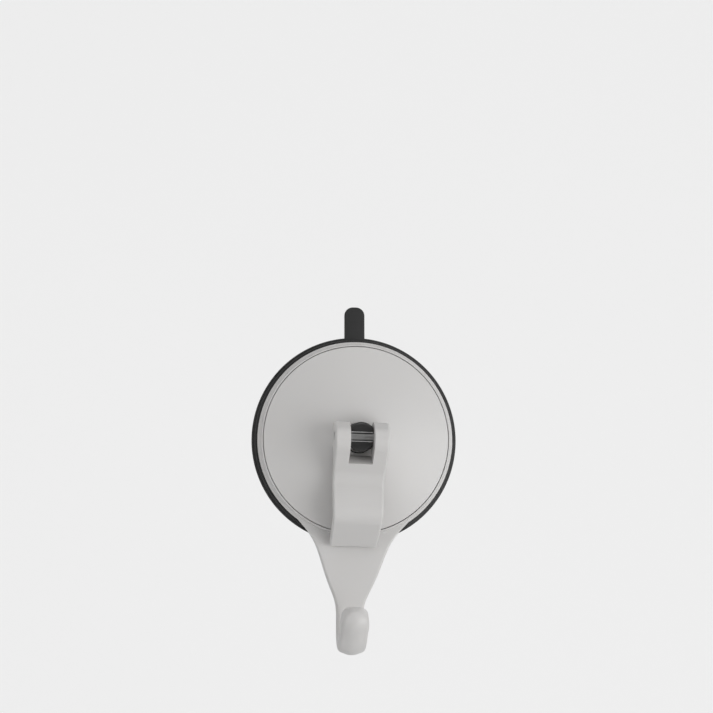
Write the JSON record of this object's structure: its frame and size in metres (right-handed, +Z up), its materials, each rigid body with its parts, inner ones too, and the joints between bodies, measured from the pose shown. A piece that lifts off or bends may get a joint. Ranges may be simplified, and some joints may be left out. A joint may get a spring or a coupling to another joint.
{
  "type": "suction cup hook",
  "caption": "Wall hook on a gel-faced suction cup: a cam lever pulls the cup's middle forward under a domed cover, and a plate with a tapered arm carries the hook.",
  "frame": {"origin": "centre of the suction face, on the wall plane", "axes": "+Y into the wall, +Z up towards the pull tab, the hook at -Z and its opening and the lever at -Y"},
  "size_m": [0.0816, 0.0356, 0.1365],
  "materials": {
    "gel": "clear soft gel, tacky and slightly cloudy",
    "cup_rubber": "charcoal moulded rubber, satin",
    "stud_plastic": "dark hard plastic, polished nose",
    "plate_plastic": "white moulded plastic, soft gloss",
    "dome_plastic": "white moulded plastic, soft gloss",
    "lever_plastic": "white moulded plastic, soft gloss",
    "pin_steel": "drawn steel pin, smooth"
  },
  "bodies": {
    "root": {"hook_plate": "plate_plastic", "dome_cover": "dome_plastic", "suction_cup": "cup_rubber", "gel_pad": "gel"},
    "stud": {"stud": "stud_plastic"},
    "lever": {"cam_lever": "lever_plastic", "pivot_pin": "pin_steel"}
  },
  "joints": [
    {"name": "stud_slide", "type": "slide", "parent": "root", "child": "stud", "axis": [0, 1, 0], "range_m": [0, 0.0018], "deforming": ["suction_cup", "gel_pad"]},
    {"name": "lever_hinge", "type": "hinge", "parent": "stud", "child": "lever", "pos_m": [0, -0.02795, 0], "axis": [-1, 0, 0], "range_deg": [0, 105]}
  ],
  "couplings": [
    {"joint": "stud_slide", "follows": "lever_hinge", "m_per_rad": 0.00095243}
  ]
}
